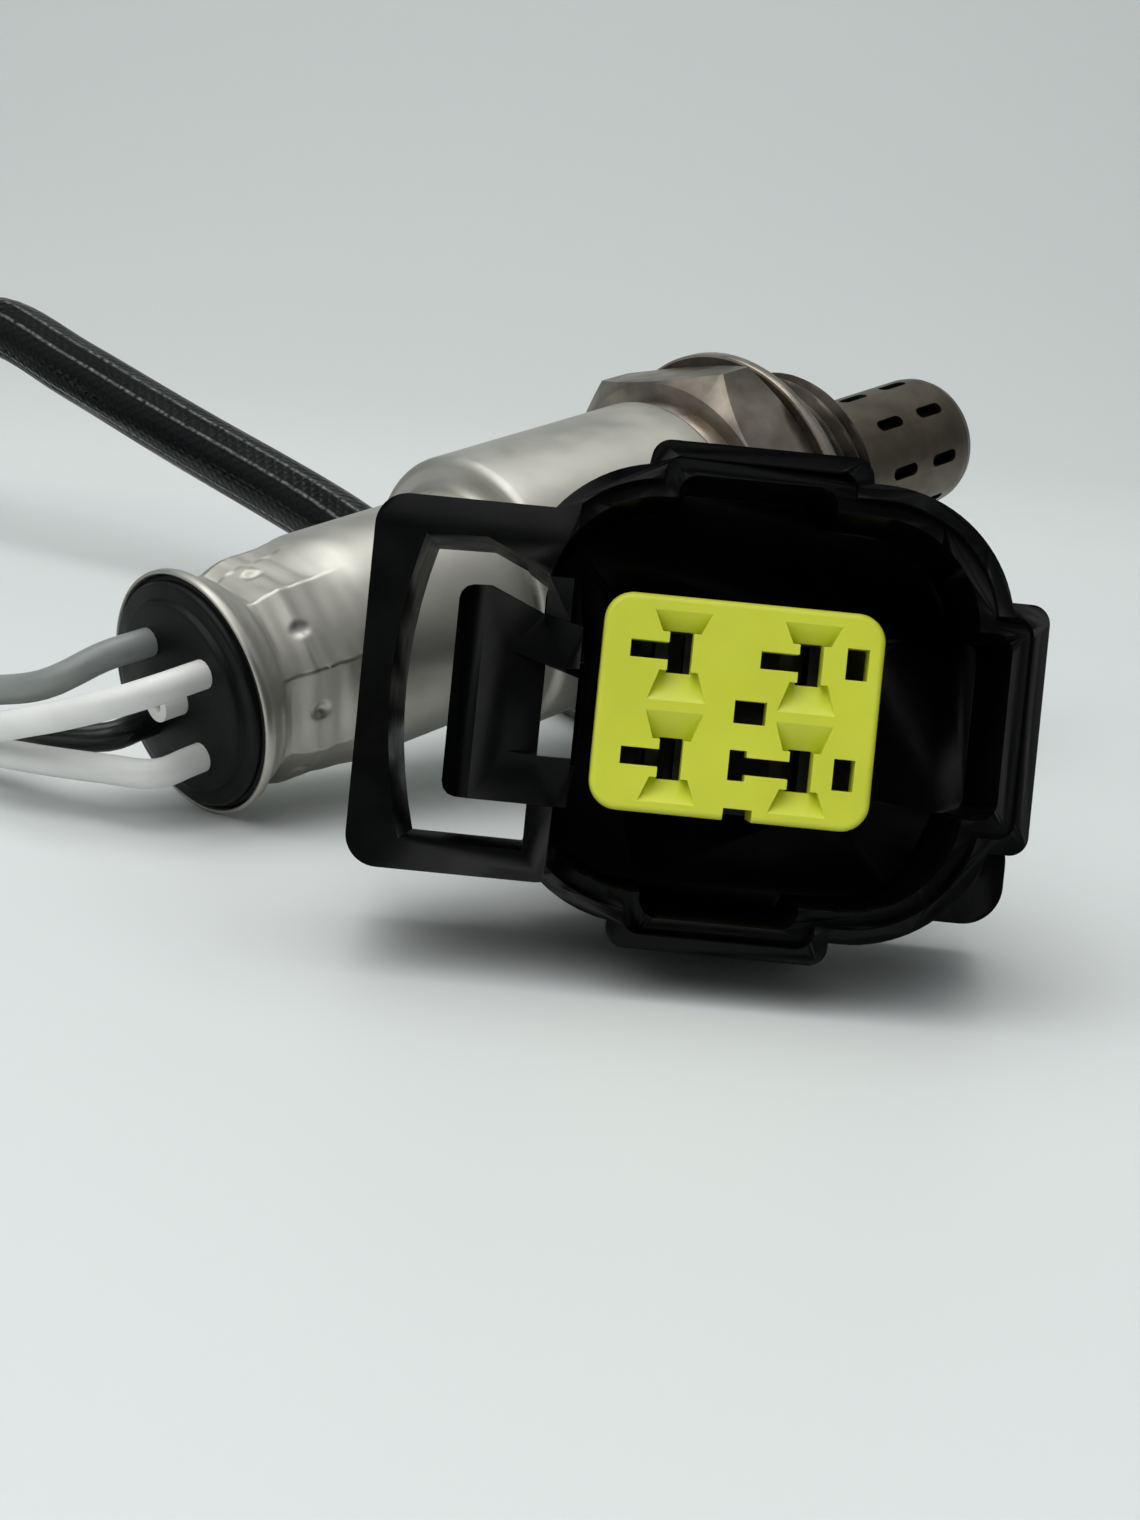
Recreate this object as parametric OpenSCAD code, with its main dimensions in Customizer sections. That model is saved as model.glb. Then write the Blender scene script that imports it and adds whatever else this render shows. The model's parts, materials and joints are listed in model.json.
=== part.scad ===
// Heated exhaust oxygen sensor: a screw-in steel sensor body with a four-wire
// sleeved lead and a sealed four-way plug, lying with the body over its lead.
// Millimetres, +Z up. The origin is under the middle of the sensor body's box.

/* [Sensor body] */
// Hexagon size across flats
hex_af = 22; // [21:0.5:24]
// Height of the hexagon along the sensor's axis
hex_h = 6.1; // [5:0.1:8]
// Thread outside diameter (M18 x 1.5)
thread_d = 18; // [17:0.5:18]
// Threaded length
thread_len = 5.5; // [5:0.5:12]
// Diameter of the wide part of the steel casing
casing_d = 19.8; // [19:0.1:20.2]
// Diameter of the narrow rear part of the steel casing
rear_d = 15.6; // [15:0.1:16]
// Sheet thickness of the steel casing
casing_t = 0.6; // [0.5:0.1:0.6]
// Diameter of the slotted outer protection tube
tip_d = 10.6; // [10:0.1:11]
// Number of gas slots in each of the two rows
slots = 8; // [6:1:10]
// Angle of the hexagon's corners about the sensor's axis
hex_phase = 21.5; // [0:0.5:60]

/* [Lead] */
// Diameter of each insulated wire
wire_d = 1.9; // [1.6:0.1:2]
// Outside diameter of the black sleeve
sleeve_d = 6.6; // [6:0.1:6.6]
// Distance of the wires from the middle of the rubber grommet
wire_ring_r = 4; // [3.6:0.1:4.2]

/* [Plug] */
// Width of the plug's shroud
shroud_w = 27.5; // [27:0.1:28]
// Height of the plug's shroud
shroud_h = 23.8; // [23.4:0.1:24.2]
// Wall thickness of the shroud
shroud_t = 1.6; // [1.4:0.1:1.8]
// Depth of the shroud's walls
shroud_depth = 13; // [12.5:0.5:13]

/* [Placing] */
// Turn of the sensor body about the vertical
sensor_yaw = 45.7; // [40:0.1:50]
// Lift of the sensor body's tip above level
sensor_tilt = 12.8; // [12.4:0.1:14]
// Lean of the plug back onto its foot
plug_tilt = 12; // [10:0.5:14]

/* [Hidden] */
$fn = 96;

steel = [0.78, 0.78, 0.76];
dark_steel = [0.27, 0.25, 0.23];
tan_steel = [0.55, 0.52, 0.48];
ceramic = [0.93, 0.92, 0.88];
rubber = [0.07, 0.07, 0.07];
black_plastic = [0.05, 0.05, 0.055];
lime_plastic = [0.75, 0.82, 0.23];
tinned = [0.75, 0.76, 0.78];

// Stations along the sensor's axis, from the rear rim (0) towards the tip.
face_s = -0.9;              // rubber face, just proud of the rim
dent_s = 4.9;               // middle of the eight dents that grip the grommet
crimp_s = 6.4;              // end of the crimped neck
holder_s = 8.5;             // rear end of the ceramic contact holder
shoulder_s = 23.4;          // face of the shoulder between the two casing diameters
spring_s = 24.2;            // disc spring, inside the shoulder
holder_front_s = 31.4;      // front of the holder, against the shell
casing_end_s = 42.3;        // where the casing ends on the shell
hex_s = 44;                 // rear face of the hexagon
hex_end_s = hex_s + hex_h;
flange_end_s = hex_end_s + 1.1;
seat_s = flange_end_s + 1.8; // sealing face of the gasket
thread_end_s = seat_s + thread_len;
tube_seat_s = thread_end_s - 1.9;
row_s = [thread_end_s + 7.5, thread_end_s + 12.5];
tip_s = thread_end_s + 17.9;

rim_r = 8.05;
neck_r = 7.15;
casing_r = casing_d / 2;
rear_r = rear_d / 2;
thread_r = thread_d / 2;
flange_r = 11.9;            // round flange in front of the hexagon
spigot_r = casing_r - casing_t;
chamber_r = 7.4;
tip_r = tip_d / 2;
tube_flange_r = 6.6;
element_r = 4.6;
chamfer = 1.7;
slot_w = 1;
slot_len = 3;
wire_r = wire_d / 2;
sleeve_r = sleeve_d / 2;

// Where the rear rim's centre lies, so that the body's box stands on the origin.
rim_centre = [-24.45, -25.1, 7.817];

grey_angle = 125;
white_a_angle = 35;
white_b_angle = -62;
black_angle = -145;

// ---------------------------------------------------------------- helpers
function arc(c, r, from, to, n = 6) =
    [for (i = [0 : n]) c + r * [cos(from + (to - from) * i / n), sin(from + (to - from) * i / n)]];
function unit(v) = v / norm(v);

axis = [cos(sensor_tilt) * cos(sensor_yaw), cos(sensor_tilt) * sin(sensor_yaw), sin(sensor_tilt)];
side = [sin(sensor_yaw), -cos(sensor_yaw), 0];
rise = cross(side, axis);
// A point on the sensor: station s, at radius r and angle a from its near side upwards.
function on_sensor(s, a, r) = rim_centre + s * axis + r * (cos(a) * side + sin(a) * rise);

module place_sensor() {
    translate(rim_centre) rotate([0, 90 - sensor_tilt, sensor_yaw]) children();
}
module at_angle(a, r) {
    translate([-r * sin(a), -r * cos(a), 0]) children();
}
module turned(points) {
    rotate_extrude() polygon(points);
}
module ring(r_in, r_out, from, to) {
    turned([[r_in, from], [r_out, from], [r_out, to], [r_in, to]]);
}
module rod(r, from, to) {
    translate([0, 0, from]) cylinder(r = r, h = to - from);
}

// A tube of straight-sided rings along a route.
function tangents(p) = [for (i = [0 : len(p) - 1])
    unit(p[min(i + 1, len(p) - 1)] - p[max(i - 1, 0)])];
function ring_points(c, t, r, sides) =
    let (right = unit(cross(t, [0, 0, 1])), up = cross(right, t))
    [for (k = [0 : sides - 1])
        c + r * (cos(360 * k / sides) * right + sin(360 * k / sides) * up)];
module swept_tube(route, r, sides) {
    t = tangents(route);
    last = (len(route) - 1) * sides;
    polyhedron(
        points = [for (i = [0 : len(route) - 1]) each ring_points(route[i], t[i], r, sides)],
        faces = concat(
            [[for (k = [0 : sides - 1]) k]],
            [for (i = [0 : len(route) - 2]) for (k = [0 : sides - 1])
                [i * sides + k, (i + 1) * sides + k,
                 (i + 1) * sides + (k + 1) % sides, i * sides + (k + 1) % sides]],
            [[for (k = [sides - 1 : -1 : 0]) last + k]]
        )
    );
}

// ---------------------------------------------------------------- sensor body
// Inside of the drawn casing, from the rim forwards; the grommet fills its rear end.
inner_rear = [[rim_r - 0.35, 0], [rim_r - 0.35, 0.8], [neck_r - casing_t, 2.6],
    [neck_r - casing_t, 3.6], [rear_r - casing_t, crimp_s]];

module casing() {
    outer = concat(
        arc([rim_r - 0.15, 0.15], 0.15, -90, 0, 3),
        [[rim_r, 0.9], [neck_r, 2.6], [neck_r, 3.6], [rear_r, crimp_s]],
        arc([rear_r + 0.8, shoulder_s - 0.8], 0.8, 180, 90, 5),
        arc([casing_r - 0.8, shoulder_s + 0.8], 0.8, -90, 0, 5),
        [[casing_r, casing_end_s]]);
    inner = concat(
        [[spigot_r, casing_end_s]],
        arc([spigot_r - 0.5, shoulder_s + 1.1], 0.5, 0, -90, 4),
        arc([rear_r - casing_t + 1, shoulder_s - 0.4], 1, 90, 180, 5),
        [for (i = [len(inner_rear) - 1 : -1 : 0]) inner_rear[i]]);
    color(steel) place_sensor() difference() {
        turned(concat(outer, inner));
        for (i = [0 : 7]) rotate([0, 0, i * 45 + 10])
            translate([rear_r + 0.75, 0, dent_s]) sphere(r = 1.5, $fn = 32);
    }
}

module hex_shell() {
    body = [[0, holder_front_s], [spigot_r, holder_front_s], [spigot_r, casing_end_s],
        [casing_r - 0.25, casing_end_s], [casing_r - 0.25, hex_s + 0.1],
        [casing_r - 0.25, hex_end_s - 0.1], [flange_r - 0.2, hex_end_s - 0.1],
        [flange_r, hex_end_s + 0.1], [flange_r, flange_end_s - 0.4],
        [flange_r - 0.4, flange_end_s], [thread_r - 0.9, flange_end_s],
        [thread_r - 0.9, seat_s - 0.4], [thread_r, seat_s + 0.4],
        [thread_r, thread_end_s - 0.8], [thread_r - 0.9, thread_end_s], [0, thread_end_s]];
    bore = [[0, holder_front_s - 1], [6.6, holder_front_s - 1], [6.6, holder_front_s + 0.8],
        [chamber_r, holder_front_s + 0.8], [chamber_r, 48], [5.6, 48], [5.6, tube_seat_s],
        [tube_flange_r, tube_seat_s], [tube_flange_r, thread_end_s + 1], [0, thread_end_s + 1]];
    color(dark_steel) place_sensor() difference() {
        union() {
            turned(body);
            intersection() {
                rotate([0, 0, hex_phase]) translate([0, 0, hex_s])
                    cylinder(d = hex_af / cos(30), h = hex_h, $fn = 6);
                turned([[0, hex_s], [hex_af / 2 - 0.1, hex_s],
                    [hex_af / 2 + chamfer, hex_s + chamfer],
                    [hex_af / 2 + chamfer, hex_end_s - chamfer],
                    [hex_af / 2 - 0.1, hex_end_s], [0, hex_end_s]]);
            }
        }
        turned(bore);
    }
}

module gasket() {
    color(steel) place_sensor() turned(concat(
        [[thread_r - 0.65, flange_end_s + 0.25], [thread_r - 0.4, flange_end_s]],
        arc([thread_r + 0.9, flange_end_s + 0.6], 0.6, -90, 0, 4),
        arc([thread_r + 0.9, seat_s - 0.6], 0.6, 0, 90, 4),
        [[thread_r + 0.25, seat_s], [thread_r + 0.25, seat_s - 0.7], [thread_r - 0.65, seat_s - 0.7]]));
}

module slot_cutters(r, s) {
    for (i = [0 : slots - 1]) rotate([0, 0, i * 360 / slots]) translate([r, 0, s]) rotate([0, 90, 0]) {
        for (end = [-1, 1]) translate([end * (slot_len - slot_w) / 2, 0, 0])
            cylinder(d = slot_w, h = 3, center = true, $fn = 32);
        cube([slot_len - slot_w, slot_w, 3], center = true);
    }
}

module protection_tube(r, t, from, end, edge_r, flange_from) {
    turned(concat(
        [[r - t, from], [tube_flange_r, from], [tube_flange_r, from + 0.6], [r, from + 0.6]],
        arc([r - edge_r, end - edge_r], edge_r, 0, 90, 6),
        [[0, end], [0, end - t]],
        arc([r - edge_r, end - edge_r], edge_r - t, 90, 0, 6)));
}

module outer_protection_tube() {
    color(tan_steel) place_sensor() difference() {
        protection_tube(tip_r, 0.4, tube_seat_s + 0.6, tip_s, 2.8);
        for (s = row_s) slot_cutters(tip_r, s);
    }
}

module inner_protection_tube() {
    color(tan_steel) place_sensor() difference() {
        protection_tube(tip_r - 1.1, 0.3, tube_seat_s, tip_s - 1.4, 2);
        for (i = [0 : 5]) rotate([0, 0, i * 60]) translate([tip_r - 1.1, 0, row_s[0] - 2.5])
            rotate([0, 90, 0]) cylinder(r = 0.6, h = 2, center = true, $fn = 32);
    }
}

module sensing_element() {
    element_tip_s = tip_s - 4.5;
    color(ceramic) place_sensor() turned(concat(
        [[1.9, 30], [element_r, 30], [element_r, 44.4], [7, 44.4], [7, 47.2], [5, 47.2],
         [3.2, 50], [2.6, element_tip_s - 2.6]],
        arc([0, element_tip_s - 2.6], 2.6, 0, 90, 6),
        arc([0, element_tip_s - 2.6], 1.7, 90, 0, 4)));
}

module heater_rod() {
    color([0.85, 0.84, 0.8]) place_sensor() rod(1.5, 20, tip_s - 7.4);
}

module seat_washer() { color(tinned) place_sensor() ring(5.7, chamber_r, 47.2, 48); }
module talc_ring() { color([0.85, 0.84, 0.82]) place_sensor() ring(element_r, chamber_r, 38.5, 44.4); }
module packing_sleeve() { color(ceramic) place_sensor() ring(element_r, chamber_r, 33, 38.5); }
module swage_ring() {
    color(tinned) place_sensor() ring(5.2, chamber_r, holder_front_s + 0.8, 33);
}

module contact_holder() {
    color(ceramic) place_sensor() difference() {
        union() {
            rod(rear_r - casing_t - 0.2, holder_s, spring_s + 0.9);
            rod(spigot_r - 0.1, spring_s + 0.9, holder_front_s);
        }
        for (a = [grey_angle, white_a_angle, white_b_angle, black_angle])
            at_angle(a, wire_ring_r) rod(1.15, holder_s - 1, 28.1);
        for (a = [white_a_angle, white_b_angle]) at_angle(a, 2.65) rod(1.3, 19.9, 28.1);
        rod(2.7, 18, 28.1);
        rod(5.8, 28, holder_front_s + 1);
    }
}

module disc_spring() {
    color(steel) place_sensor() turned([[rear_r - casing_t + 0.2, spring_s + 0.3],
        [spigot_r - 0.6, spring_s], [spigot_r - 0.2, spring_s + 0.3],
        [spigot_r - 0.2, spring_s + 0.6], [rear_r - casing_t + 0.2, spring_s + 0.9]]);
}

module contact_pin(a, to) {
    at_angle(a, wire_ring_r) {
        rod(1.1, holder_s + 0.1, 13);
        rod(0.7, 12, to);
    }
}

module signal_contact() {
    color(tinned) place_sensor() {
        contact_pin(black_angle, 28.8);
        ring(3.2, 4.9, 28.6, 30);
    }
}

module ground_contact() {
    color(tinned) place_sensor() {
        contact_pin(grey_angle, 28.2);
        at_angle(grey_angle, 5.35) rod(0.35, 28.1, 31.9);
        at_angle(grey_angle, 4.9) rod(0.5, 28, 28.4);
        ring(element_r + 0.05, 5.2, 31.4, holder_front_s + 0.7);
        at_angle(grey_angle, 5.2) rod(0.4, 31.3, 31.9);
    }
}

module heater_contact(a) {
    contact_pin(a, 21.5);
    at_angle(a, 2.65) rod(1.1, 20.1, 21.3);
}
module heater_contact_a() { color(tinned) place_sensor() heater_contact(white_a_angle); }
module heater_contact_b() { color(tinned) place_sensor() heater_contact(white_b_angle); }

module grommet() {
    color(rubber) place_sensor() difference() {
        turned(concat(
            [[0, face_s]],
            arc([7, face_s + 0.4], 0.4, -90, 0, 3),
            [[7.4, 0.2], inner_rear[0] + [0, 0.2]],
            [for (i = [1 : len(inner_rear) - 1]) inner_rear[i]],
            [[rear_r - casing_t, holder_s], [0, holder_s]]));
        for (a = [grey_angle, white_a_angle, white_b_angle, black_angle])
            at_angle(a, wire_ring_r) rod(wire_r, face_s - 1, holder_s + 1);
        rod(1.1, face_s - 1, holder_s + 1);
    }
}

module breather_plug() { color([0.9, 0.9, 0.88]) place_sensor() ring(0.5, 1.1, face_s - 1.6, holder_s); }

// ---------------------------------------------------------------- lead
mouth = [-50, -19, 3.3];
// The four wires lie two on two inside the sleeve's mouth.
function in_mouth(y, z) = mouth + [0, y * wire_r, z * wire_r];
function wire_route(a, between, y, z) = concat(
    [on_sensor(holder_s, a, wire_ring_r), on_sensor(face_s, a, wire_ring_r),
     on_sensor(face_s - 3.4, a, wire_ring_r)],
    between,
    [in_mouth(y, z) + [4, 0, 0], in_mouth(y, z)]);

module white_wire_a() {
    color("white") swept_tube(wire_route(white_a_angle,
        [[-28.4, -31.6, 8], [-33, -29.6, 6.2], [-38, -26.2, 4.6]], -1, 1), wire_r, 8);
}
module white_wire_b() {
    color("white") swept_tube(wire_route(white_b_angle,
        [[-28.9, -28, 3.2], [-33, -26.6, 3], [-37.6, -24.2, 2.7], [-42.4, -21.9, 2.5]],
        -1, -1), wire_r, 8);
}
module grey_wire() {
    color([0.5, 0.52, 0.5]) swept_tube(wire_route(grey_angle,
        [[-33, -27.8, 8.1], [-38, -24.2, 6.5]], 1, 1), wire_r, 8);
}
module black_wire() {
    color([0.08, 0.08, 0.08]) swept_tube(wire_route(black_angle,
        [[-33, -24.6, 4.2], [-38, -20.4, 3.2]], 1, -1), wire_r, 8);
}

// The sleeve: laid to a round coil, over itself once, then back to the plug.
coil_centre = [-119.1, 78.7, 0];
coil_r = 38.5;
coil_lift = 0.6;            // the tie's band passes under the coil
coil_exit_angle = 48.6;
coil_low_z = coil_lift + sleeve_r;
coil_high_z = coil_low_z + sleeve_d;
coil_exit = coil_centre + [coil_r * cos(coil_exit_angle), coil_r * sin(coil_exit_angle), coil_high_z];
coil_out = [sin(coil_exit_angle), -cos(coil_exit_angle), 0];

plug_centre = [8.3, -50.3, 15.15];
plug_len = 27.9;
plug_back = [0, cos(plug_tilt), -sin(plug_tilt)];
plug_rear = plug_centre + plug_len * plug_back;

lead_in_route = [mouth, [-62, -18.8, 3.3], [-77, -16.4, 3.3], [-93, -11.2, 3.3],
    [-108, -3.4, 3.4], [-121, 6, 3.5], [-132.5, 17.2, 3.6], [-143, 30, 3.7],
    [-151.6, 43.6, 3.8], [-156.8, 56, 3.9], [-158.4, 67, 3.9], [-157.9, 74, coil_low_z],
    coil_centre + [-coil_r, 0, coil_low_z]];
lead_out_route = [coil_exit, coil_exit + 5 * coil_out + [0, 0, 0.5], [-83.5, 100.8, 14.9],
    [-76.5, 96.6, 19.6], [-68.1, 91.4, 22.3], [-57, 82.8, 18.9],
    [-43, 71.3, 14.3], [-25.9, 57.2, 8.9], [-15.1, 44.2, 5], [-7, 31.5, 3.6],
    [-1, 20, 3.3], [3.1, 11.5, 3.3], [5.4, 5.2, 3.3], [7, -1.3, 4.3], [8, -8.5, 6],
    plug_rear + [0, 7.5, -1.6], plug_rear];

module sleeve_lead_in() {
    color(rubber) swept_tube(lead_in_route, sleeve_r, 10);
}
module sleeve_lead_out() {
    color(rubber) swept_tube(lead_out_route, sleeve_r, 10);
}
module sleeve_coil() {
    cross_angle = 220;
    color(rubber) translate(coil_centre) {
        rotate([0, 0, cross_angle]) rotate_extrude(angle = 540 - cross_angle)
            translate([coil_r, coil_low_z]) circle(r = sleeve_r);
        rotate([0, 0, coil_exit_angle]) rotate_extrude(angle = cross_angle - coil_exit_angle)
            translate([coil_r, coil_high_z]) circle(r = sleeve_r);
        // the two layers press together where one lies on the other
        rotate([0, 0, coil_exit_angle]) rotate_extrude(angle = 170 - coil_exit_angle)
            translate([coil_r - 1.3, coil_low_z]) square([2.6, sleeve_d]);
    }
}
module coil_tie() {
    band = [sleeve_d + 0.4, coil_lift + 2 * sleeve_d + 0.2];
    color(black_plastic) translate(coil_centre) rotate([0, 0, 118]) translate([coil_r, -2, 0]) {
        rotate([-90, 0, 0]) linear_extrude(4) difference() {
            translate([-band[0] / 2 - 0.6, -band[1] - 0.6]) square([band[0] + 1.2, band[1] + 0.6]);
            translate([-band[0] / 2, -band[1]]) square([band[0], band[1] - coil_lift + 0.02]);
        }
        translate([band[0] / 2 + 0.5, -0.6, 5]) cube([3, 5.2, 4.4]);
    }
}

// ---------------------------------------------------------------- plug
// Plug frame: x across, y back from the mating face, z up; outlines are drawn in x and z.
module place_plug() {
    translate(plug_centre) rotate([-plug_tilt, 0, 0]) children();
}
module deep(from, to) {
    rotate([90, 0, 0]) translate([0, 0, -to]) linear_extrude(to - from) children();
}
module rounded(x0, x1, z0, z1, r) {
    translate([x0 + r, z0]) square([x1 - x0 - 2 * r, z1 - z0]);
    translate([x0, z0 + r]) square([x1 - x0, z1 - z0 - 2 * r]);
    for (x = [x0 + r, x1 - r], z = [z0 + r, z1 - r]) translate([x, z]) circle(r = r);
}

shroud_z = 0.45;            // the shroud's middle stands a little above the terminals'
latch_side_x = -12;         // the shroud is cut short on the latch's side
key_half = 5.75;            // half width of the key pockets above and below
key_h = 13.15;              // their reach from the shroud's middle
side_key_x = 15.5;
side_key_half = 6.5;
cell_x = [-3.25, 3.55];
cell_z = [-2.8, 2.8];
rear_w = 8.4;
rear_h = 6.7;
tower = [6.7, 5];
cover_y = plug_len - 4.2;

module shroud_outline(t) {
    rounded(latch_side_x + t, shroud_w / 2 - t, shroud_z - shroud_h / 2 + t,
        shroud_z + shroud_h / 2 - t, 7.4 - t);
    rounded(-key_half + t, key_half - t, shroud_z - key_h + t, shroud_z + key_h - t, 1);
    rounded(0, side_key_x - t, shroud_z - side_key_half + t, shroud_z + side_key_half - t, 1);
}
// Inside of the shroud: its wall on the latch's side is a straight post.
module shroud_room() {
    difference() {
        shroud_outline(shroud_t);
        translate([-14, -8.25]) square([4.9, 14.25]);
    }
}
module lever_outline() {
    polygon(concat([[-8.4, -5.85], [-8.4, 3.6], [-10.5, 4.1], [-13.3, 5.3]],
        arc([-14.3, 4.55], 0.75, 90, 180, 3), arc([-14.3, -5.1], 0.75, 180, 270, 3)));
}
// Room for the latch: a C-shaped gap round the lever, open right through.
module latch_room() {
    difference() {
        polygon(concat([[-10.4, 4], [-10.4, 6], [-11.8, 6.85], [-13.7, 7.7]],
            arc([10.9, -0.3], 28.9, 164.1, 195.9, 10),
            [[-10.45, -8.25], [-10.45, -5.5]]));
        lever_outline();
    }
}
module cells() {
    for (x = cell_x, z = cell_z) translate([x, z]) children();
}

module connector_housing() {
    color(black_plastic) place_plug() difference() {
        union() {
            // shroud with its key pockets, the guard round the latch, and the foot
            difference() {
                union() {
                    deep(0, shroud_depth) shroud_outline(0);
                    deep(0, shroud_depth - 2) rounded(-19.6, -8, -9.8, 9.55, 1.7);
                    deep(7.5, 15) rounded(8.3, 15.9, -10.3, -4.6, 2.2);
                }
                deep(-1, shroud_depth - 1.5) shroud_room();
                deep(-1, 0.9) intersection() {
                    shroud_outline(0.75);
                    translate([-9.1, -20]) square([40, 40]);
                }
                deep(-1, shroud_depth + 1) latch_room();
            }
            // latch lever, its thumb edge bevelled
            difference() {
                deep(1, shroud_depth) lever_outline();
                deep(-1, 2.6) translate([-13.2, -3.05]) square([6, 4.45]);
                translate([-15.1, 1, 0]) rotate([0, 0, 45]) cube([2.2, 2.2, 14], center = true);
            }
            // tower that carries the terminals
            deep(3, shroud_depth) rounded(-tower[0], tower[0], -tower[1], tower[1], 1.2);
            // body behind the shroud
            deep(shroud_depth - 0.1, cover_y) rounded(-rear_w, rear_w, -rear_h, rear_h, 2.4);
            deep(shroud_depth - 0.1, 15) rounded(-10.7, 10.7, -8.2, 8.2, 2.8);
            // rail on top
            deep(shroud_depth - 0.1, cover_y - 1.5) translate([-1.1, rear_h - 1]) square([2.2, 2.4]);
        }
        // latch window, open right through and wider behind its face
        deep(-1, 3.5) polygon([[-10.2, -3.3], [-8.35, -3.3], [-8.35, 0.95], [-10.2, 1.5]]);
        deep(3.4, shroud_depth + 3) translate([-10.4, -3.9]) square([2.3, 6]);
        deep(2, shroud_depth + 0.2) cells() square([2.9, 3.3], center = true);
        deep(shroud_depth, 15.4) cells() circle(r = 1.25);
        deep(15.2, cover_y + 1) cells() circle(r = 2.4);
    }
}

// A wedge cut into the face above a slot, wider away from it; reach is its height.
module lead_in_ramp(reach) {
    polyhedron(
        points = [[-1, 0.9, 1], [1, 0.9, 1], [1.55, 0.9, 1.1 + reach], [-1.55, 0.9, 1.1 + reach],
            [-1, 2.2, 1], [1, 2.2, 1]],
        faces = [[0, 3, 2, 1], [0, 1, 5, 4], [3, 4, 5, 2], [0, 4, 3], [1, 2, 5]]);
}
module terminal_retainer() {
    color(lime_plastic) place_plug() difference() {
        union() {
            deep(1, 2.9) rounded(-7.35, 7.35, -5.7, 5.7, 1.5);
            deep(2.8, 5.5) difference() {
                rounded(-7.35, 7.35, -5.7, 5.7, 1.5);
                rounded(-tower[0], tower[0], -tower[1], tower[1], 1.2);
            }
        }
        // a slot for each blade, with its probe slot beside it
        deep(0, 4) cells() {
            translate([-0.62, -1.1]) square([1.24, 2.2]);
            translate([-2.6, -0.46]) square([2.1, 0.92]);
        }
        for (x = cell_x, z = cell_z) translate([x, 0, z]) {
            lead_in_ramp(z > 0 ? 1.1 : 1.5);
            mirror([0, 0, 1]) lead_in_ramp(z > 0 ? 1.6 : 1.3);
        }
        deep(0, 4) {
            translate([-0.2, -3.6]) square([0.9, 1.6]);
            translate([0.5, -3.26]) square([1, 0.92]);
            translate([-0.17, -0.6]) square([1.67, 1.2]);
            translate([5.4, 2.2]) square([1.15, 1.65]);
            translate([5.25, -3.6]) square([1.1, 1.65]);
        }
        deep(0, 7) translate([-0.25, -6.5]) square([1.5, 1.45]);
    }
}

module interface_seal() {
    color(rubber) place_plug() difference() {
        deep(8.4, 11.4) rounded(-tower[0] - 0.6, tower[0] + 0.6, -tower[1] - 0.6, tower[1] + 0.6, 1.8);
        deep(8, 12) rounded(-tower[0], tower[0], -tower[1], tower[1], 1.2);
    }
}

module wire_seals() {
    color(rubber) place_plug() rotate([90, 0, 0]) cells() difference() {
        union() {
            rod(2.2, -cover_y + 0.2, -15.8);
            for (y = [15.9, 18.1, 20.3]) ring(1, 2.4, -y - 1, -y);
        }
        rod(wire_r, -30, 0);
    }
}

module seal_cover() {
    color(black_plastic) place_plug() difference() {
        union() {
            deep(cover_y, cover_y + 1.4) rounded(-rear_w, rear_w, -rear_h, rear_h, 2.4);
            deep(cover_y + 1.3, plug_len) circle(r = sleeve_r + 0.8);
        }
        deep(cover_y + 0.7, plug_len + 1) circle(r = sleeve_r - 0.9);
        deep(cover_y - 1, cover_y + 1) cells() circle(r = 1.6);
    }
}

module terminal(x, z) {
    color(tinned) place_plug() translate([x, 0, z]) {
        difference() {
            deep(6.8, 11) translate([-1.15, -1.45]) square([2.3, 2.9]);
            deep(6, 9.8) translate([-0.45, -1.15]) square([0.9, 2.3]);
        }
        deep(10.9, 15) circle(r = 0.85);
        deep(14.9, cover_y) circle(r = wire_r);
    }
}
module signal_terminal() { terminal(cell_x[0], cell_z[1]); }
module ground_terminal() { terminal(cell_x[1], cell_z[1]); }
module heater_terminal_a() { terminal(cell_x[0], cell_z[0]); }
module heater_terminal_b() { terminal(cell_x[1], cell_z[0]); }

hex_shell();
gasket();
outer_protection_tube();
inner_protection_tube();
sensing_element();
heater_rod();
seat_washer();
talc_ring();
packing_sleeve();
swage_ring();
casing();
contact_holder();
disc_spring();
signal_contact();
ground_contact();
heater_contact_a();
heater_contact_b();
grommet();
breather_plug();
white_wire_a();
white_wire_b();
grey_wire();
black_wire();
sleeve_lead_in();
sleeve_coil();
sleeve_lead_out();
coil_tie();
connector_housing();
terminal_retainer();
interface_seal();
wire_seals();
seal_cover();
signal_terminal();
ground_terminal();
heater_terminal_a();
heater_terminal_b();
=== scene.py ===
"""Looks of the oxygen sensor: threaded shell, crimped casing, sleeved lead and keyed plug."""

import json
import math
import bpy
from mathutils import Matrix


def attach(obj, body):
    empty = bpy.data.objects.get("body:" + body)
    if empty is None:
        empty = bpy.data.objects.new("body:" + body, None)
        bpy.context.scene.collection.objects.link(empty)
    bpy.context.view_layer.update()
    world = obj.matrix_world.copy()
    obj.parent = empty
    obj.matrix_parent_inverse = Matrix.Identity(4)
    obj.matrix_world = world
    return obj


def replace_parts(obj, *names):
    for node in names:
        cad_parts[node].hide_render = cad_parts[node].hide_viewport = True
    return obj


bl_info = {
    "name": "Oxygen Sensor Looks",
    "version": (1, 1, 0),
    "blender": (4, 5, 0),
    "location": "View3D > Sidebar > Oxygen Sensor",
    "description": "Dresses the packed oxygen sensor with finishes, threads, crimps and cords",
    "category": "Object",
}

import bmesh
import bpy
from bpy.props import FloatProperty, FloatVectorProperty, PointerProperty
from mathutils import Matrix, Vector

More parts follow.
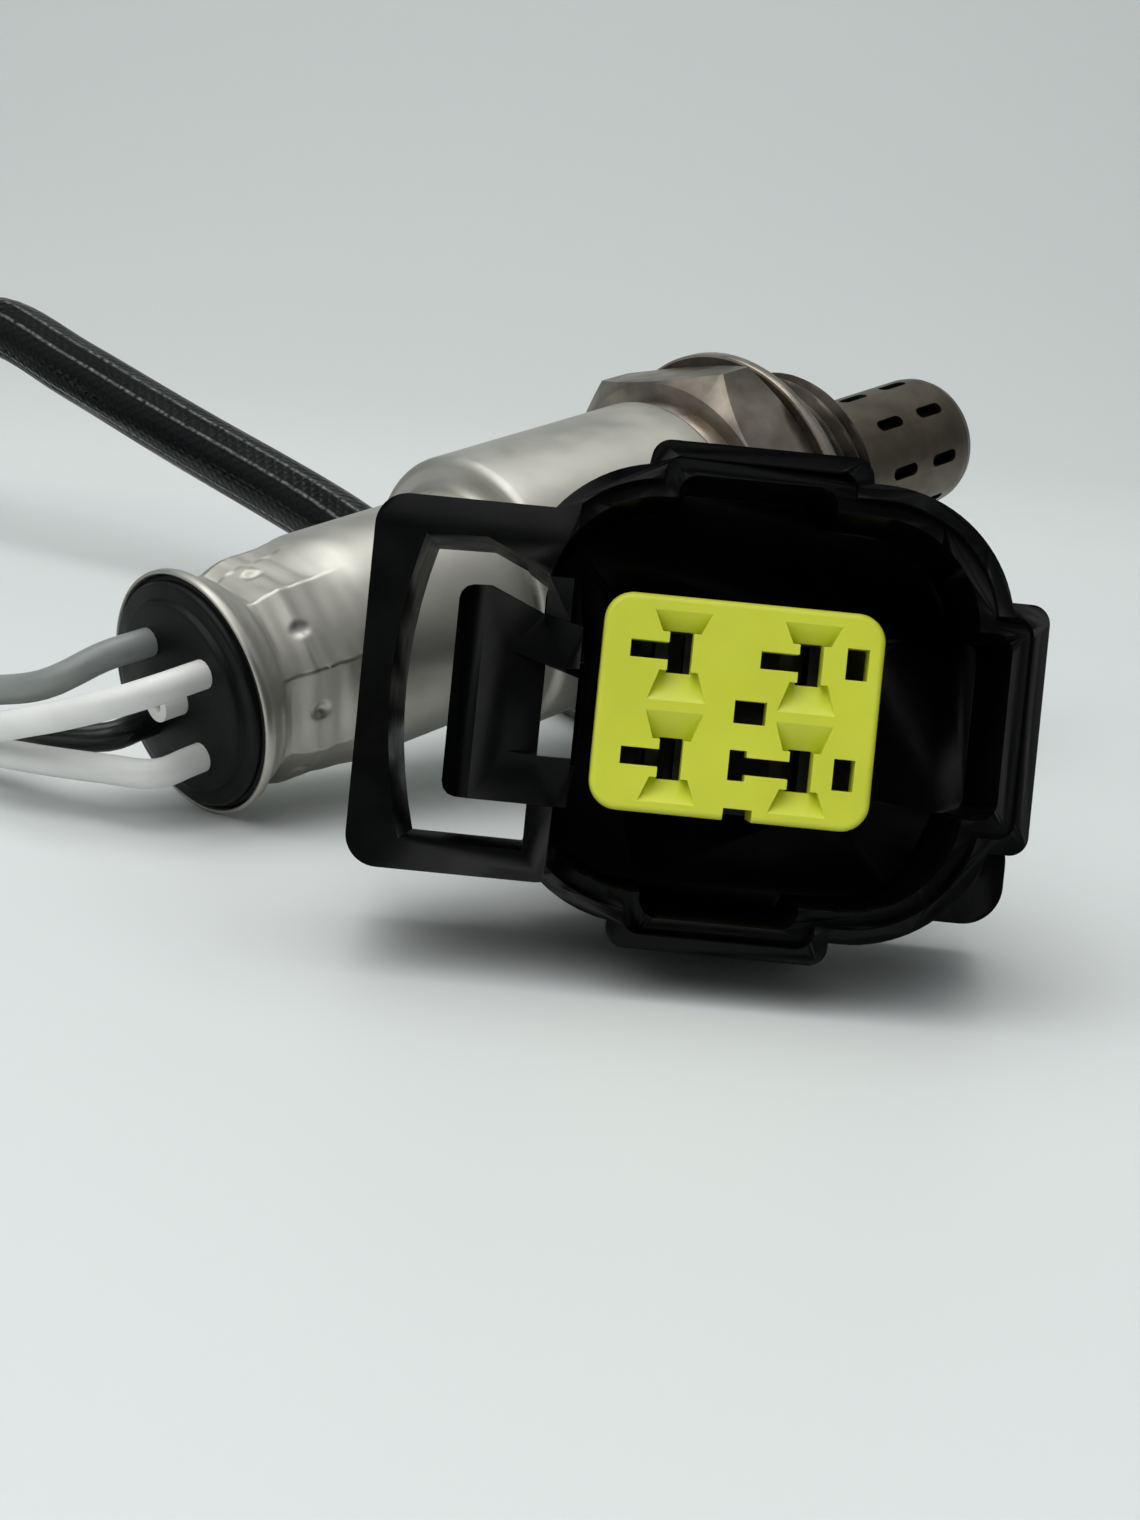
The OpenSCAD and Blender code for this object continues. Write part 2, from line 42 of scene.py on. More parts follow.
MM = 0.001
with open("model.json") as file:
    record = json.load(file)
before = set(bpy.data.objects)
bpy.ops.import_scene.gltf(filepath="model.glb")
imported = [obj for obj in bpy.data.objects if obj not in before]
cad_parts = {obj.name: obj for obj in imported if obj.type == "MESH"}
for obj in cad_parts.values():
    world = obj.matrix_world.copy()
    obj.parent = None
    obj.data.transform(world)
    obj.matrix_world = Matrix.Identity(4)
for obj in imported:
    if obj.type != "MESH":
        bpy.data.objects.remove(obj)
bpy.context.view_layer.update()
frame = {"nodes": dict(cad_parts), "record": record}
MOUNTS = {mount["name"]: mount for mount in frame["record"]["mounts"]}
FINISHES = {}

# The body's axis runs from the rear rim to the tip; stations are mm along it from the rim.
THREAD_STATION = 55.5  # where the thread's mount lies
AXIS = Vector(MOUNTS["exhaust_thread"]["axis"])
SIDE = Vector((AXIS.y, -AXIS.x, 0)).normalized()
RISE = SIDE.cross(AXIS)
RIM = Vector(MOUNTS["exhaust_thread"]["pos_m"]) / MM - THREAD_STATION * AXIS
BODY = Matrix.Translation(RIM * MM) @ Matrix((RISE, SIDE, AXIS)).transposed().to_4x4()

# The plug's mating face, and the way back from it towards the lead.
PLUG_CENTRE = Vector(MOUNTS["plug_mating_face"]["pos_m"]) / MM
PLUG_BACK = -Vector(MOUNTS["plug_mating_face"]["axis"])
PLUG = Matrix.Translation(PLUG_CENTRE * MM) @ Matrix(
    (Vector((1, 0, 0)), PLUG_BACK, Vector((1, 0, 0)).cross(PLUG_BACK))).transposed().to_4x4()
PLUG_LEN = 27.9  # from the mating face to the end of the cover's neck


# ------------------------------------------------------------------ settings
def rgb(code):
    """sRGB hex to linear RGBA."""
    parts = [int(code[i : i + 2], 16) / 255 for i in (1, 3, 5)]
    return (*[c / 12.92 if c <= 0.04045 else ((c + 0.055) / 1.055) ** 2.4 for c in parts], 1.0)


class SensorSizes(bpy.types.PropertyGroup):
    """Sizes of the details that the finished part adds to the solids."""

    thread_d: FloatProperty(
        name="Thread diameter", description="Outside diameter of the screw thread",
        default=2 * MOUNTS["exhaust_thread"]["dims"]["r_mm"] * MM, unit="LENGTH", precision=4)
    thread_pitch: FloatProperty(
        name="Thread pitch", description="Distance from one thread crest to the next",
        default=1.5 * MM, unit="LENGTH", precision=4)
    hexagon_edge: FloatProperty(
        name="Hexagon edge radius", description="Rounding of the hexagon's forged edges",
        default=0.16 * MM, unit="LENGTH", precision=5)
    crimp_depth: FloatProperty(
        name="Crimp depth", description="How far each jaw pressed the neck of the casing in",
        default=0.86 * MM, unit="LENGTH", precision=5)
    dent_depth: FloatProperty(
        name="Dent depth", description="Depth of the small dent in each crimped flat",
        default=0.28 * MM, unit="LENGTH", precision=5)
    mould_edge: FloatProperty(
        name="Housing edge radius", description="Rounding of the moulded housing's edges",
        default=0.2 * MM, unit="LENGTH", precision=5)
    retainer_edge: FloatProperty(
        name="Retainer rim radius", description="Rounding of the terminal retainer's outer rim",
        default=0.35 * MM, unit="LENGTH", precision=5)
    wire_d: FloatProperty(
        name="Wire diameter", description="Diameter over each wire's insulation",
        default=1.9 * MM, unit="LENGTH", precision=4)
    sleeve_d: FloatProperty(
        name="Sleeve diameter", description="Outside diameter of the braided sleeve",
        default=6.6 * MM, unit="LENGTH", precision=4)


class SensorColours(bpy.types.PropertyGroup):
    """Colours of the finishes that a user would change."""

    casing: FloatVectorProperty(
        name="Casing", description="Drawn stainless casing", subtype="COLOR", size=4,
        min=0, max=1, default=rgb("#BAB8AF"))
    shell: FloatVectorProperty(
        name="Hexagon", description="Heat-browned steel of the hexagon", subtype="COLOR", size=4,
        min=0, max=1, default=rgb("#968E82"))
    tube: FloatVectorProperty(
        name="Protection tube", description="Heat-resistant sheet of the slotted tube",
        subtype="COLOR", size=4, min=0, max=1, default=rgb("#645D50"))
    retainer: FloatVectorProperty(
        name="Terminal retainer", description="Yellow-green moulding that locks the terminals",
        subtype="COLOR", size=4, min=0, max=1, default=rgb("#E0E742"))
    heater_wires: FloatVectorProperty(
        name="Heater wires", description="Insulation of the two heater wires",
        subtype="COLOR", size=4, min=0, max=1, default=rgb("#EDEDEA"))
    ground_wire: FloatVectorProperty(
        name="Ground wire", description="Insulation of the ground wire",
        subtype="COLOR", size=4, min=0, max=1, default=rgb("#8E9390"))
    signal_wire: FloatVectorProperty(
        name="Signal wire", description="Insulation of the signal wire",
        subtype="COLOR", size=4, min=0, max=1, default=rgb("#161718"))
    floor: FloatVectorProperty(
        name="Table", description="Table under the part", subtype="COLOR", size=4,
        min=0, max=1, default=rgb("#DFE3E2"))
    backdrop: FloatVectorProperty(
        name="Backdrop", description="Sweep behind the table", subtype="COLOR", size=4,
        min=0, max=1, default=rgb("#E4E9E7"))


class SensorLamps(bpy.types.PropertyGroup):
    """Power of the lamps."""

    overhead: FloatProperty(
        name="Overhead lamp", description="Soft lamp above the part", default=1.7, min=0,
        unit="POWER")
    front: FloatProperty(
        name="Front lamp", description="Soft lamp in front, above and to the left", default=1.2,
        min=0, unit="POWER")


# ------------------------------------------------------------------ material helpers
def add_node(material, kind, settings, inputs):
    """Adds a shader node: its properties, then its inputs, each a value or an output to link."""
    node = material.node_tree.nodes.new(kind)
    for key, value in settings.items():
        setattr(node, key, value)
    for key, value in inputs.items():
        if isinstance(value, bpy.types.NodeSocket):
            material.node_tree.links.new(value, node.inputs[key])
        else:
            node.inputs[key].default_value = value
    return node.outputs


def darker(colour, share):
    """The same colour with less light in it."""
    return (*[c * share for c in colour[:3]], 1.0)


def finished(name, shader):
    """A material from the inputs of its Principled shader, given as a function of the material."""
    material = bpy.data.materials.new(name)
    material.use_nodes = True
    material.node_tree.nodes.clear()
    surface = add_node(material, "ShaderNodeBsdfPrincipled", {}, shader(material))
    add_node(material, "ShaderNodeOutputMaterial", {}, {"Surface": surface["BSDF"]})
    return material


def steel(name, light, dark, patch_mm, polish, grain_mm, grain_depth_mm):
    """Bare or heat-tinted steel: two tones in patches, uneven polish and a fine grain."""

    def shader(material):
        place = add_node(material, "ShaderNodeTexCoord", {}, {})["Object"]
        patches = add_node(material, "ShaderNodeTexNoise", {},
                           {"Vector": place, "Scale": 1 / (patch_mm * MM), "Detail": 4.0})["Fac"]
        spread = add_node(material, "ShaderNodeMapRange", {},
                          {"Value": patches, "From Min": 0.3, "From Max": 0.7})["Result"]
        tone = add_node(material, "ShaderNodeMix", {"data_type": "RGBA"},
                        {0: spread, 6: light, 7: dark})[2]
        wear = add_node(material, "ShaderNodeTexNoise", {},
                        {"Vector": place, "Scale": 1 / (0.6 * patch_mm * MM),
                         "Detail": 5.0})["Fac"]
        rough = add_node(material, "ShaderNodeMapRange", {},
                         {"Value": wear, "From Min": 0.35, "From Max": 0.65,
                          "To Min": polish[0], "To Max": polish[1]})["Result"]
        grain = add_node(material, "ShaderNodeTexNoise", {},
                         {"Vector": place, "Scale": 1 / (grain_mm * MM), "Detail": 3.0})["Fac"]
        relief = add_node(material, "ShaderNodeBump", {},
                          {"Height": grain, "Distance": grain_depth_mm * MM, "Strength": 1.0})
        return {"Base Color": tone, "Metallic": 1.0, "Roughness": rough,
                "Normal": relief["Normal"]}

    return finished(name, shader)


def moulded(name, light, dark, gloss, grain_mm, grain_depth_mm, reflection=0.5):
    """Moulded plastic, rubber or ceramic: a fine grain, slight changes of tone and gloss."""

    def shader(material):
        place = add_node(material, "ShaderNodeTexCoord", {}, {})["Object"]
        cloud = add_node(material, "ShaderNodeTexNoise", {},
                         {"Vector": place, "Scale": 1 / (5 * MM), "Detail": 3.0})["Fac"]
        spread = add_node(material, "ShaderNodeMapRange", {},
                          {"Value": cloud, "From Min": 0.3, "From Max": 0.7})["Result"]
        tone = add_node(material, "ShaderNodeMix", {"data_type": "RGBA"},
                        {0: spread, 6: light, 7: dark})[2]
        flow = add_node(material, "ShaderNodeTexNoise", {},
                        {"Vector": place, "Scale": 1 / (2.2 * MM), "Detail": 4.0})["Fac"]
        rough = add_node(material, "ShaderNodeMapRange", {},
                         {"Value": flow, "From Min": 0.35, "From Max": 0.65,
                          "To Min": gloss[0], "To Max": gloss[1]})["Result"]
        grain = add_node(material, "ShaderNodeTexNoise", {},
                         {"Vector": place, "Scale": 1 / (grain_mm * MM), "Detail": 3.0})["Fac"]
        relief = add_node(material, "ShaderNodeBump", {},
                          {"Height": grain, "Distance": grain_depth_mm * MM, "Strength": 1.0})
        return {"Base Color": tone, "Roughness": rough, "Specular IOR Level": reflection,
                "Normal": relief["Normal"]}

    return finished(name, shader)


def varnished_braid(name, light, dark, painted_glint_tone, yarn_mm, sleeve_r):
    """Braided glass sleeving, dipped in varnish and drawn tight: crossed yarns under a gloss, with
    painted glints along two creases.
    """
    lean = 38  # degrees between the yarns and the sleeve's length

    def shader(material):
        # the UV map is in mm: round the sleeve, and along it
        place = add_node(material, "ShaderNodeTexCoord", {}, {})["UV"]
        cloud = add_node(material, "ShaderNodeTexNoise", {},
                         {"Vector": place, "Scale": 1 / 18, "Detail": 3.0})["Fac"]
        tone = add_node(material, "ShaderNodeMix", {"data_type": "RGBA"},
                        {0: cloud, 6: light, 7: dark})[2]
        # painted glints: a pale tone along both creases, broken by noise, stands in for their
        # highlights
        around = add_node(material, "ShaderNodeSeparateXYZ", {}, {"Vector": place})["X"]
        glint_lines = 0.0
        for crease in SLEEVE_FOLDS:
            offset = add_node(material, "ShaderNodeMath", {"operation": "SUBTRACT"},
                              {0: around, 1: math.radians(crease) * sleeve_r})["Value"]
            apart = add_node(material, "ShaderNodeMath", {"operation": "ABSOLUTE"},
                             {0: offset})["Value"]
            close = add_node(material, "ShaderNodeMapRange", {},
                             {"Value": apart, "From Min": 0.24, "From Max": 0.04})["Result"]
            glint_lines = add_node(material, "ShaderNodeMath", {"operation": "MAXIMUM"},
                            {0: close, 1: glint_lines})["Value"]
        glint_noise = add_node(material, "ShaderNodeTexNoise", {},
                          {"Vector": place, "Scale": 1 / 0.7, "Detail": 4.0})["Fac"]
        glint_breaks = add_node(material, "ShaderNodeMapRange", {},
                          {"Value": glint_noise, "From Min": 0.36, "From Max": 0.72})["Result"]
        painted_glint = add_node(material, "ShaderNodeMath", {"operation": "MULTIPLY"},
                        {0: glint_lines, 1: glint_breaks})["Value"]
        tone = add_node(material, "ShaderNodeMix", {"data_type": "RGBA"},
                        {0: painted_glint, 6: tone, 7: painted_glint_tone})[2]
        bands = []
        for way in (lean, -lean):
            turned = add_node(material, "ShaderNodeMapping", {},
                              {"Vector": place, "Rotation": (0, 0, math.radians(way))})["Vector"]
            # a wave of this texture is 0.314 units long at scale 1
            bands.append(add_node(material, "ShaderNodeTexWave", {"bands_direction": "X"},
                                  {"Vector": turned, "Scale": 0.314 / yarn_mm, "Distortion": 0.6,
                                   "Detail": 2.0, "Detail Scale": 2.0})["Fac"])
        weave = add_node(material, "ShaderNodeMath", {"operation": "MAXIMUM"},
                         {0: bands[0], 1: bands[1]})["Value"]
        along = add_node(material, "ShaderNodeMapping", {},
                         {"Vector": place, "Scale": (1, 0.12, 1)})["Vector"]
        drawn = add_node(material, "ShaderNodeTexNoise", {},
                         {"Vector": along, "Scale": 1 / 1.5, "Detail": 4.0})["Fac"]
        rough = add_node(material, "ShaderNodeMapRange", {},
                         {"Value": drawn, "From Min": 0.3, "From Max": 0.7,
                          "To Min": 0.16, "To Max": 0.4})["Result"]
        folds = add_node(material, "ShaderNodeBump", {},
                         {"Height": drawn, "Distance": 0.22 * MM, "Strength": 1.0})["Normal"]
        relief = add_node(material, "ShaderNodeBump", {},
                          {"Height": weave, "Distance": 0.04 * MM, "Strength": 1.0,
                           "Normal": folds})["Normal"]
        return {"Base Color": tone, "Roughness": rough, "Specular IOR Level": 0.12,
                "Normal": relief}

    return finished(name, shader)


def make_finishes(colours, sizes):
    """Every finish on the object, named for the real one."""
    casing, shell, tube = tuple(colours.casing), tuple(colours.shell), tuple(colours.tube)
    lime, white = tuple(colours.retainer), tuple(colours.heater_wires)
    grey, black = tuple(colours.ground_wire), tuple(colours.signal_wire)
    FINISHES.update({
        # deep-drawn and degreased: bright satin, soft-edged highlights, faint handling marks
        "casing": steel("drawn_stainless_satin", casing, darker(casing, 0.85), 5, (0.38, 0.5),
                        1.2, 0.004),
        # forged, turned, then browned by the weld's heat: dull brown with darker clouds
        "shell": steel("heat_browned_steel", shell, darker(shell, 0.42), 3.5, (0.3, 0.46),
                       0.5, 0.008),
        # the same steel, darker: painted shade on the recessed groove and thread between the
        # flange and the tube
        "shell_painted_shade": steel("thread_steel_painted_shade", rgb("#57514A"), rgb("#36322D"), 3, (0.3, 0.5),
                            0.5, 0.008),
        # turned face left clean: a paler, straw-tinted ring
        "collar": steel("straw_tinted_steel", rgb("#A39B90"), rgb("#857C70"), 3, (0.25, 0.4),
                        0.5, 0.006),
        # rolled heat-resistant sheet: warm grey-brown, duller than the casing
        "tube": steel("heat_resistant_sheet_steel", tube, darker(tube, 0.64), 3, (0.34, 0.5),
                      0.5, 0.008),
        # the same sheet out of the light, seen only through the slots
        "inner_tube": steel("dark_sheet_steel", rgb("#4A443C"), rgb("#2C2824"), 2, (0.4, 0.6),
                            0.5, 0.006),
        # thin strip rolled and folded: light grey with a soft shine
        "gasket": steel("rolled_gasket_steel", rgb("#8F8B83"), rgb("#6F6A62"), 2, (0.28, 0.42),
                        0.5, 0.005),
        # pressed from plated strip: clean and fairly bright
        "spring_metal": steel("nickelled_spring_metal", rgb("#C9C9C6"), rgb("#B0AFAA"), 2,
                              (0.24, 0.36), 0.5, 0.004),
        # stamped and dip-tinned: dull grey, darkened further with painted shade for the bottom of
        # its cell
        "tinned": steel("tinned_brass_dull_with_painted_shade", rgb("#7D7B75"), rgb("#605E58"), 2, (0.4, 0.55),
                        0.5, 0.004),
        # fired and ground: plain white with a low sheen
        "ceramic": moulded("dense_white_ceramic", rgb("#F0EEE6"), rgb("#E2DFD4"), (0.3, 0.45),
                           0.35, 0.004),
        # powder pressed to a ring: chalky, no shine
        "talc": moulded("pressed_talc", rgb("#D9D6CF"), rgb("#C9C5BC"), (0.8, 0.95), 0.2, 0.02),
        # compression-moulded fluoro rubber: black, matt, with a fine orange peel
        "grommet": moulded("black_grommet_rubber", rgb("#080909"), rgb("#040505"), (0.34, 0.48),
                           0.5, 0.01, 0.16),
        # sintered and skived: milky white, waxy shine
        "ptfe": moulded("white_fluoropolymer", rgb("#ECECE8"), rgb("#DDDDD8"), (0.35, 0.5),
                        0.35, 0.005),
        # extruded insulation: even colour, smooth with a soft waxy highlight
        "wire_white": moulded("white_wire_insulation", white, darker(white, 0.85), (0.3, 0.42),
                              0.8, 0.006),
        "wire_grey": moulded("grey_wire_insulation", grey, darker(grey, 0.74), (0.3, 0.42),
                             0.8, 0.006),
        "wire_black": moulded("black_wire_insulation", black, darker(black, 0.5), (0.26, 0.38),
                              0.8, 0.006),
        # real yarns are 0.6 mm apart: drawn at 0.9 mm, so that they show
        # the pale third tone is the painted glint along the creases
        "sleeve": varnished_braid("black_varnished_braid", rgb("#050607"), rgb("#090A0B"),
                                  rgb("#8A8C8A"), 0.9, sizes.sleeve_d / 2 / MM),
        # injection-moulded strap: black with a satin skin
        "tie": moulded("black_nylon_tie", rgb("#131415"), rgb("#0C0C0D"), (0.32, 0.45),
                       0.35, 0.006),
        # moulded in a fine-etched tool: deep black flats, thin glints along the edges
        "housing": moulded("black_glass_filled_nylon", rgb("#040505"), rgb("#020202"), (0.28, 0.4),
                           0.3, 0.004, 0.12),
        # moulded polyester: opaque yellow-green with a soft shine
        "lime": moulded("lime_polyester", lime, darker(lime, 0.9), (0.34, 0.46), 0.6, 0.006),
        # soft silicone: black, slightly greasy sheen
        "seal": moulded("black_silicone", rgb("#0D0D0E"), rgb("#080808"), (0.4, 0.55),
                        0.35, 0.008),
    })


# Finish of each CAD node that stays as it is or lies inside.
NODE_FINISH = {
    "gasket": "gasket", "outer_protection_tube": "tube", "inner_protection_tube": "inner_tube",
    "sensing_element": "ceramic", "heater_rod": "ceramic", "seat_washer": "spring_metal",
    "talc_ring": "talc", "packing_sleeve": "ceramic", "swage_ring": "spring_metal",
    "contact_holder": "ceramic", "disc_spring": "spring_metal",
    "signal_contact": "spring_metal", "ground_contact": "spring_metal",
    "heater_contact_a": "spring_metal", "heater_contact_b": "spring_metal",
    "breather_plug": "ptfe", "coil_tie": "tie", "interface_seal": "seal",
    "wire_seals": "seal", "signal_terminal": "tinned", "ground_terminal": "tinned",
    "heater_terminal_a": "tinned", "heater_terminal_b": "tinned",
}


# ------------------------------------------------------------------ mesh helpers
def smooth_shade(mesh, sharp):
    """Turns faces outwards and shades them smooth, but for edges sharper than the angle."""
    shaped = bmesh.new()
    shaped.from_mesh(mesh)
    bmesh.ops.recalc_face_normals(shaped, faces=shaped.faces)
    shaped.to_mesh(mesh)
    shaped.free()
    mesh.shade_smooth()
    mesh.set_sharp_from_angle(angle=math.radians(sharp))


def add_piece(name, mesh, materials):
    """Links a mesh as a piece of the part, with its materials, hung from the root body."""
    piece = bpy.data.objects.new(name, mesh)
    bpy.context.scene.collection.objects.link(piece)
    mesh.materials.clear()
    for material in materials:
        mesh.materials.append(material)
    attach(piece, "root")
    return piece


def lathe(rows, segments, outline):
    """Rings round the local Z axis: outline(row, angle) gives each point's (r, z) in mm."""
    verts, faces = [], []
    for row in rows:
        for k in range(segments):
            a = 2 * math.pi * k / segments
            r, z = outline(row, a)
            verts.append((r * math.cos(a), r * math.sin(a), z))
    for i in range(len(rows) - 1):
        for k in range(segments):
            n = (k + 1) % segments
            faces.append((i * segments + k, i * segments + n,
                          (i + 1) * segments + n, (i + 1) * segments + k))
    return verts, faces


def body_mesh(name, verts, faces, sharp):
    """A mesh given in mm in the sensor body's own frame."""
    mesh = bpy.data.meshes.new(name)
    mesh.from_pydata([BODY @ (Vector(v) * MM) for v in verts], [], faces)
    mesh.validate()
    smooth_shade(mesh, sharp)
    return mesh


def smooth_route(points, step):
    """Points about step mm apart on a Catmull-Rom curve through the given ones."""
    ends = [points[0] * 2 - points[1], *points, points[-1] * 2 - points[-2]]
    made = []
    for i in range(1, len(ends) - 2):
        p0, p1, p2, p3 = ends[i - 1 : i + 3]
        count = max(2, round((p2 - p1).length / step))
        for k in range(count):
            t = k / count
            made.append(0.5 * (2 * p1 + (p2 - p0) * t + (2 * p0 - 5 * p1 + 4 * p2 - p3) * t * t
                               + (3 * p1 - p0 - 3 * p2 + p3) * t ** 3))
    made.append(points[-1])
    return made


def add_tube(name, route, radius, material, sides, bore=None, section=lambda a: 1.0):
    """A tube along a route in mm; bore = (inner radius, depth) opens its first end."""
    rings, up = [], Vector((0, 0, 1))
    for i, point in enumerate(route):
        along = (route[min(i + 1, len(route) - 1)] - route[max(i - 1, 0)]).normalized()
        right = along.cross(up).normalized()
        rings.append([point + radius * section(a) * (math.cos(a) * right
                                                     + math.sin(a) * right.cross(along))
                      for a in [2 * math.pi * k / sides for k in range(sides)]])
    travelled = [0.0]
    for a, b in zip(route, route[1:]):
        travelled.append(travelled[-1] + (b - a).length)
    if bore:
        deep = next(i for i, d in enumerate(travelled) if d > bore[1])
        inner = [[route[i] + (v - route[i]) * (bore[0] / radius) for v in rings[i]]
                 for i in range(deep, -1, -1)]
        rings = inner + rings
        travelled = [travelled[i] for i in range(deep, -1, -1)] + travelled
    verts = [v * MM for ring in rings for v in ring]
    faces = [(i * sides + k, i * sides + (k + 1) % sides,
              (i + 1) * sides + (k + 1) % sides, (i + 1) * sides + k)
             for i in range(len(rings) - 1) for k in range(sides)]
    faces += [tuple(range(sides)), tuple(len(verts) - 1 - k for k in range(sides))]
    mesh = bpy.data.meshes.new(name)
    mesh.from_pydata(verts, [], faces)
    layer = mesh.uv_layers.new(name="along")
    for loop in mesh.loops:
        i, k = divmod(loop.vertex_index, sides)
        around = min(k, sides - k) * 2 / sides * math.pi * radius
        layer.data[loop.index].uv = (around, travelled[i])
    smooth_shade(mesh, 50)
    return add_piece(name, mesh, [material])


def on_sensor(station, angle, radius):
    """A point at a station along the body; angles run from its near side upwards."""
    a = math.radians(angle)
    return RIM + station * AXIS + radius * (math.cos(a) * SIDE + math.sin(a) * RISE)


# ------------------------------------------------------------------ sensor body
THREAD_FROM, THREAD_TO = 53.0, 58.5
CRIMP_FROM, CRIMP_TO = 2.3, 10.4
CRIMP_PRESS = (1.1, 0.8, 1.15, 0.9, 1.0, 0.75, 1.05, 0.85)  # how hard each jaw pressed


def thread_point(station, angle, sizes):
    """60 degree thread with a flat crest and root, run out by a chamfer at each end."""
    r, pitch = sizes.thread_d / 2 / MM, sizes.thread_pitch / MM
    turn = ((station - pitch * angle / (2 * math.pi)) / pitch) % 1.0
    full = 0.613 * pitch
    depth = full * min(1.0, max(0.0, (abs(turn - 0.5) - 0.07) / 0.36))
    chamfer = max(0.0, THREAD_FROM + 0.7 - station, station - (THREAD_TO - 0.8))
    return max(r - 1.0, r - max(depth, chamfer)), station


def make_shell(sizes):
    """Shell ends: collar, flange, gasket groove and the real thread form."""
    plain = [(9.2, 41.8), (9.62, 42.45), (9.65, 42.6), (9.65, 44.3), (9.0, 44.4),
             (9.0, 50.0), (11.7, 50.0), (11.86, 50.06), (11.9, 50.2), (11.9, 50.8), (11.84, 50.92),
             (11.5, 51.18), (11.4, 51.2), (8.1, 51.2), (8.1, 52.9)]
    end = [(7.6, 58.5), (6.75, 58.45), (6.6, 58.3), (6.6, 57.2), (5.4, 57.2)]
    steps, segments = 66, 144
    rows = [("plain", p) for p in plain]
    rows += [("thread", THREAD_FROM + (THREAD_TO - THREAD_FROM) * i / steps)
             for i in range(steps + 1)]
    rows += [("plain", p) for p in end]

    def outline(row, angle):
        kind, value = row
        return value if kind == "plain" else thread_point(value, angle, sizes)

    mesh = body_mesh("shell_thread", *lathe(rows, segments, outline), 30)
    shell = add_piece("shell_thread", mesh, [FINISHES["shell_painted_shade"], FINISHES["collar"]])
    for i, face in enumerate(mesh.polygons):
        row = i // segments
        # the collar's first rings and the flange take the clean straw tint; the other rings take
        # the painted shade
        face.material_index = 1 if row < 3 or 5 < row < 13 else 0
    return shell


def make_hexagon(sizes):
    """Hexagon turned down to cones at its corners, with softened edges."""
    half, top, bottom, sides = 11.0, 50.1, 44.0, 160
    corner = half / math.cos(math.radians(30))
    phase = math.radians(201.5)  # how the hexagon came to rest, turned about the axis
    ring = [(corner * math.cos(a), corner * math.sin(a))
            for a in [phase + k * math.pi / 3 for k in range(6)]]
    block = bpy.data.meshes.new("hexagon")
    block.from_pydata([(x, y, z) for z in (bottom, top) for x, y in ring], [],
                      [(5, 4, 3, 2, 1, 0), (6, 7, 8, 9, 10, 11),
                       *[(k, (k + 1) % 6, 6 + (k + 1) % 6, 6 + k) for k in range(6)]])
    profile = [(10.9, bottom), (12.7, bottom + 1.7), (12.9, bottom + 1.9),
               (12.9, top - 1.9), (12.7, top - 1.7), (10.9, top)]
    verts, faces = lathe(profile, sides, lambda row, angle: row)
    faces += [tuple(range(sides - 1, -1, -1)), tuple(range(5 * sides, 6 * sides))]
    cones = bpy.data.meshes.new("hexagon_cones")
    cones.from_pydata(verts, [], faces)
    piece, cone = bpy.data.objects.new("blank", block), bpy.data.objects.new("cones", cones)
    for o in (piece, cone):
        bpy.context.scene.collection.objects.link(o)
    cut = piece.modifiers.new("cones", "BOOLEAN")
    cut.operation, cut.object, cut.solver = "INTERSECT", cone, "EXACT"
    soften = piece.modifiers.new("soften", "BEVEL")
    soften.width, soften.segments = sizes.hexagon_edge / MM, 2
    soften.angle_limit = math.radians(22)
    view = bpy.context.evaluated_depsgraph_get()
    shaped = bpy.data.meshes.new_from_object(piece.evaluated_get(view))
    for o in (piece, cone):
        bpy.data.objects.remove(o)
    if not shaped.polygons:
        raise RuntimeError("the hexagon came out empty")
    shaped.transform(BODY @ Matrix.Scale(MM, 4))
    smooth_shade(shaped, 18)
    hexagon = add_piece("hexagon", shaped, [FINISHES["shell"]])
    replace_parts(hexagon, "hex_shell")
    return hexagon


